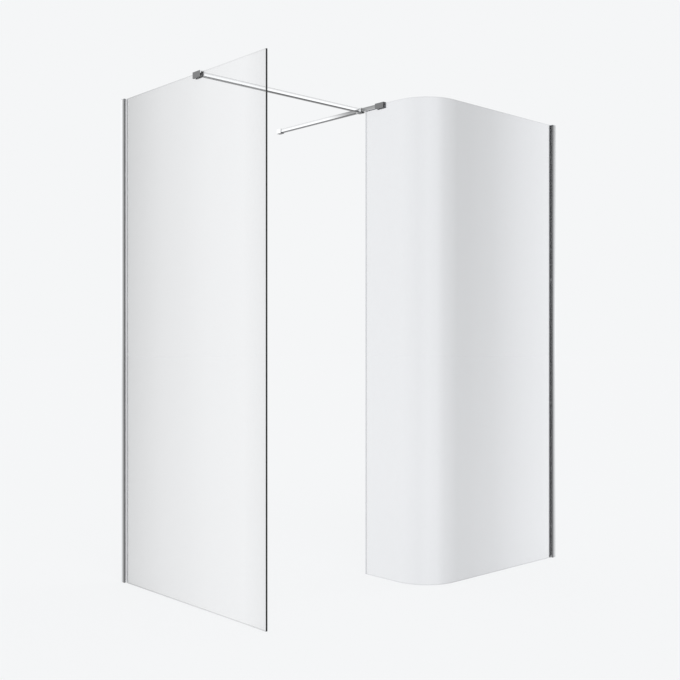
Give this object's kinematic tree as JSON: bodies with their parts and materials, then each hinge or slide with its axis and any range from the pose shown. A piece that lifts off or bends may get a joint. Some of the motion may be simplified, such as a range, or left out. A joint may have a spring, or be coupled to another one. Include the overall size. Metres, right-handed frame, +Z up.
{
  "type": "walk-in shower enclosure",
  "caption": "Corner walk-in shower enclosure: a flat clear-glass side screen and a curved clear-glass screen in slim wall channels, braced at the top by square bars.",
  "frame": {"origin": "floor level, in the middle of the rectangle that the enclosure covers", "axes": "+Z up; wall A is the plane y = +0.443 m and wall B the plane x = +0.796375 m; the entry opens towards -Y"},
  "size_m": [1.5928, 0.886, 1.855],
  "materials": {
    "clear_glass": "clear toughened glass with polished edges",
    "polished_aluminium": "bright polished",
    "chrome_bar": "mirror bright",
    "chrome_fitting": "satin plated",
    "bright_cap": "metallised gloss",
    "grey_gasket": "soft satin",
    "clamp_pad": "black matt",
    "steel_screw": "plain stainless"
  },
  "bodies": {
    "screens": {"side_glass_panel": "clear_glass", "curved_glass_panel": "clear_glass", "wall_bar": "chrome_bar", "return_clamp_body": "chrome_fitting", "return_clamp_pad": "clamp_pad", "return_clamp_set_screws": "steel_screw"},
    "side_channel": {"side_wall_channel": "polished_aluminium", "side_channel_cap": "bright_cap", "side_outer_gasket": "grey_gasket", "side_inner_gasket": "grey_gasket"},
    "long_channel": {"long_wall_channel": "polished_aluminium", "long_channel_cap": "bright_cap", "long_outer_gasket": "grey_gasket", "long_inner_gasket": "grey_gasket"},
    "bar_socket": {"wall_socket": "chrome_fitting", "wall_socket_set_screw": "steel_screw"},
    "brace": {"side_clamp_body": "chrome_fitting", "side_clamp_pad": "clamp_pad", "side_clamp_set_screws": "steel_screw", "cross_bar": "chrome_bar", "cross_bar_set_screws": "steel_screw", "tee_sleeve": "chrome_fitting", "tee_set_screw": "steel_screw"}
  },
  "joints": [
    {"name": "side_channel_slide", "type": "slide", "parent": "screens", "child": "side_channel", "axis": [0, 1, 0], "range_m": [-0.004, 0.008]},
    {"name": "bar_socket_slide", "type": "slide", "parent": "screens", "child": "bar_socket", "axis": [0, 1, 0], "range_m": [-0.004, 0.008]},
    {"name": "long_channel_slide", "type": "slide", "parent": "screens", "child": "long_channel", "axis": [1, 0, 0], "range_m": [-0.004, 0.008]},
    {"name": "brace_slide", "type": "slide", "parent": "screens", "child": "brace", "axis": [0, 1, 0], "range_m": [-0.016, 0.4]}
  ],
  "couplings": [
    {"joint": "bar_socket_slide", "follows": "side_channel_slide", "ratio": 1}
  ]
}
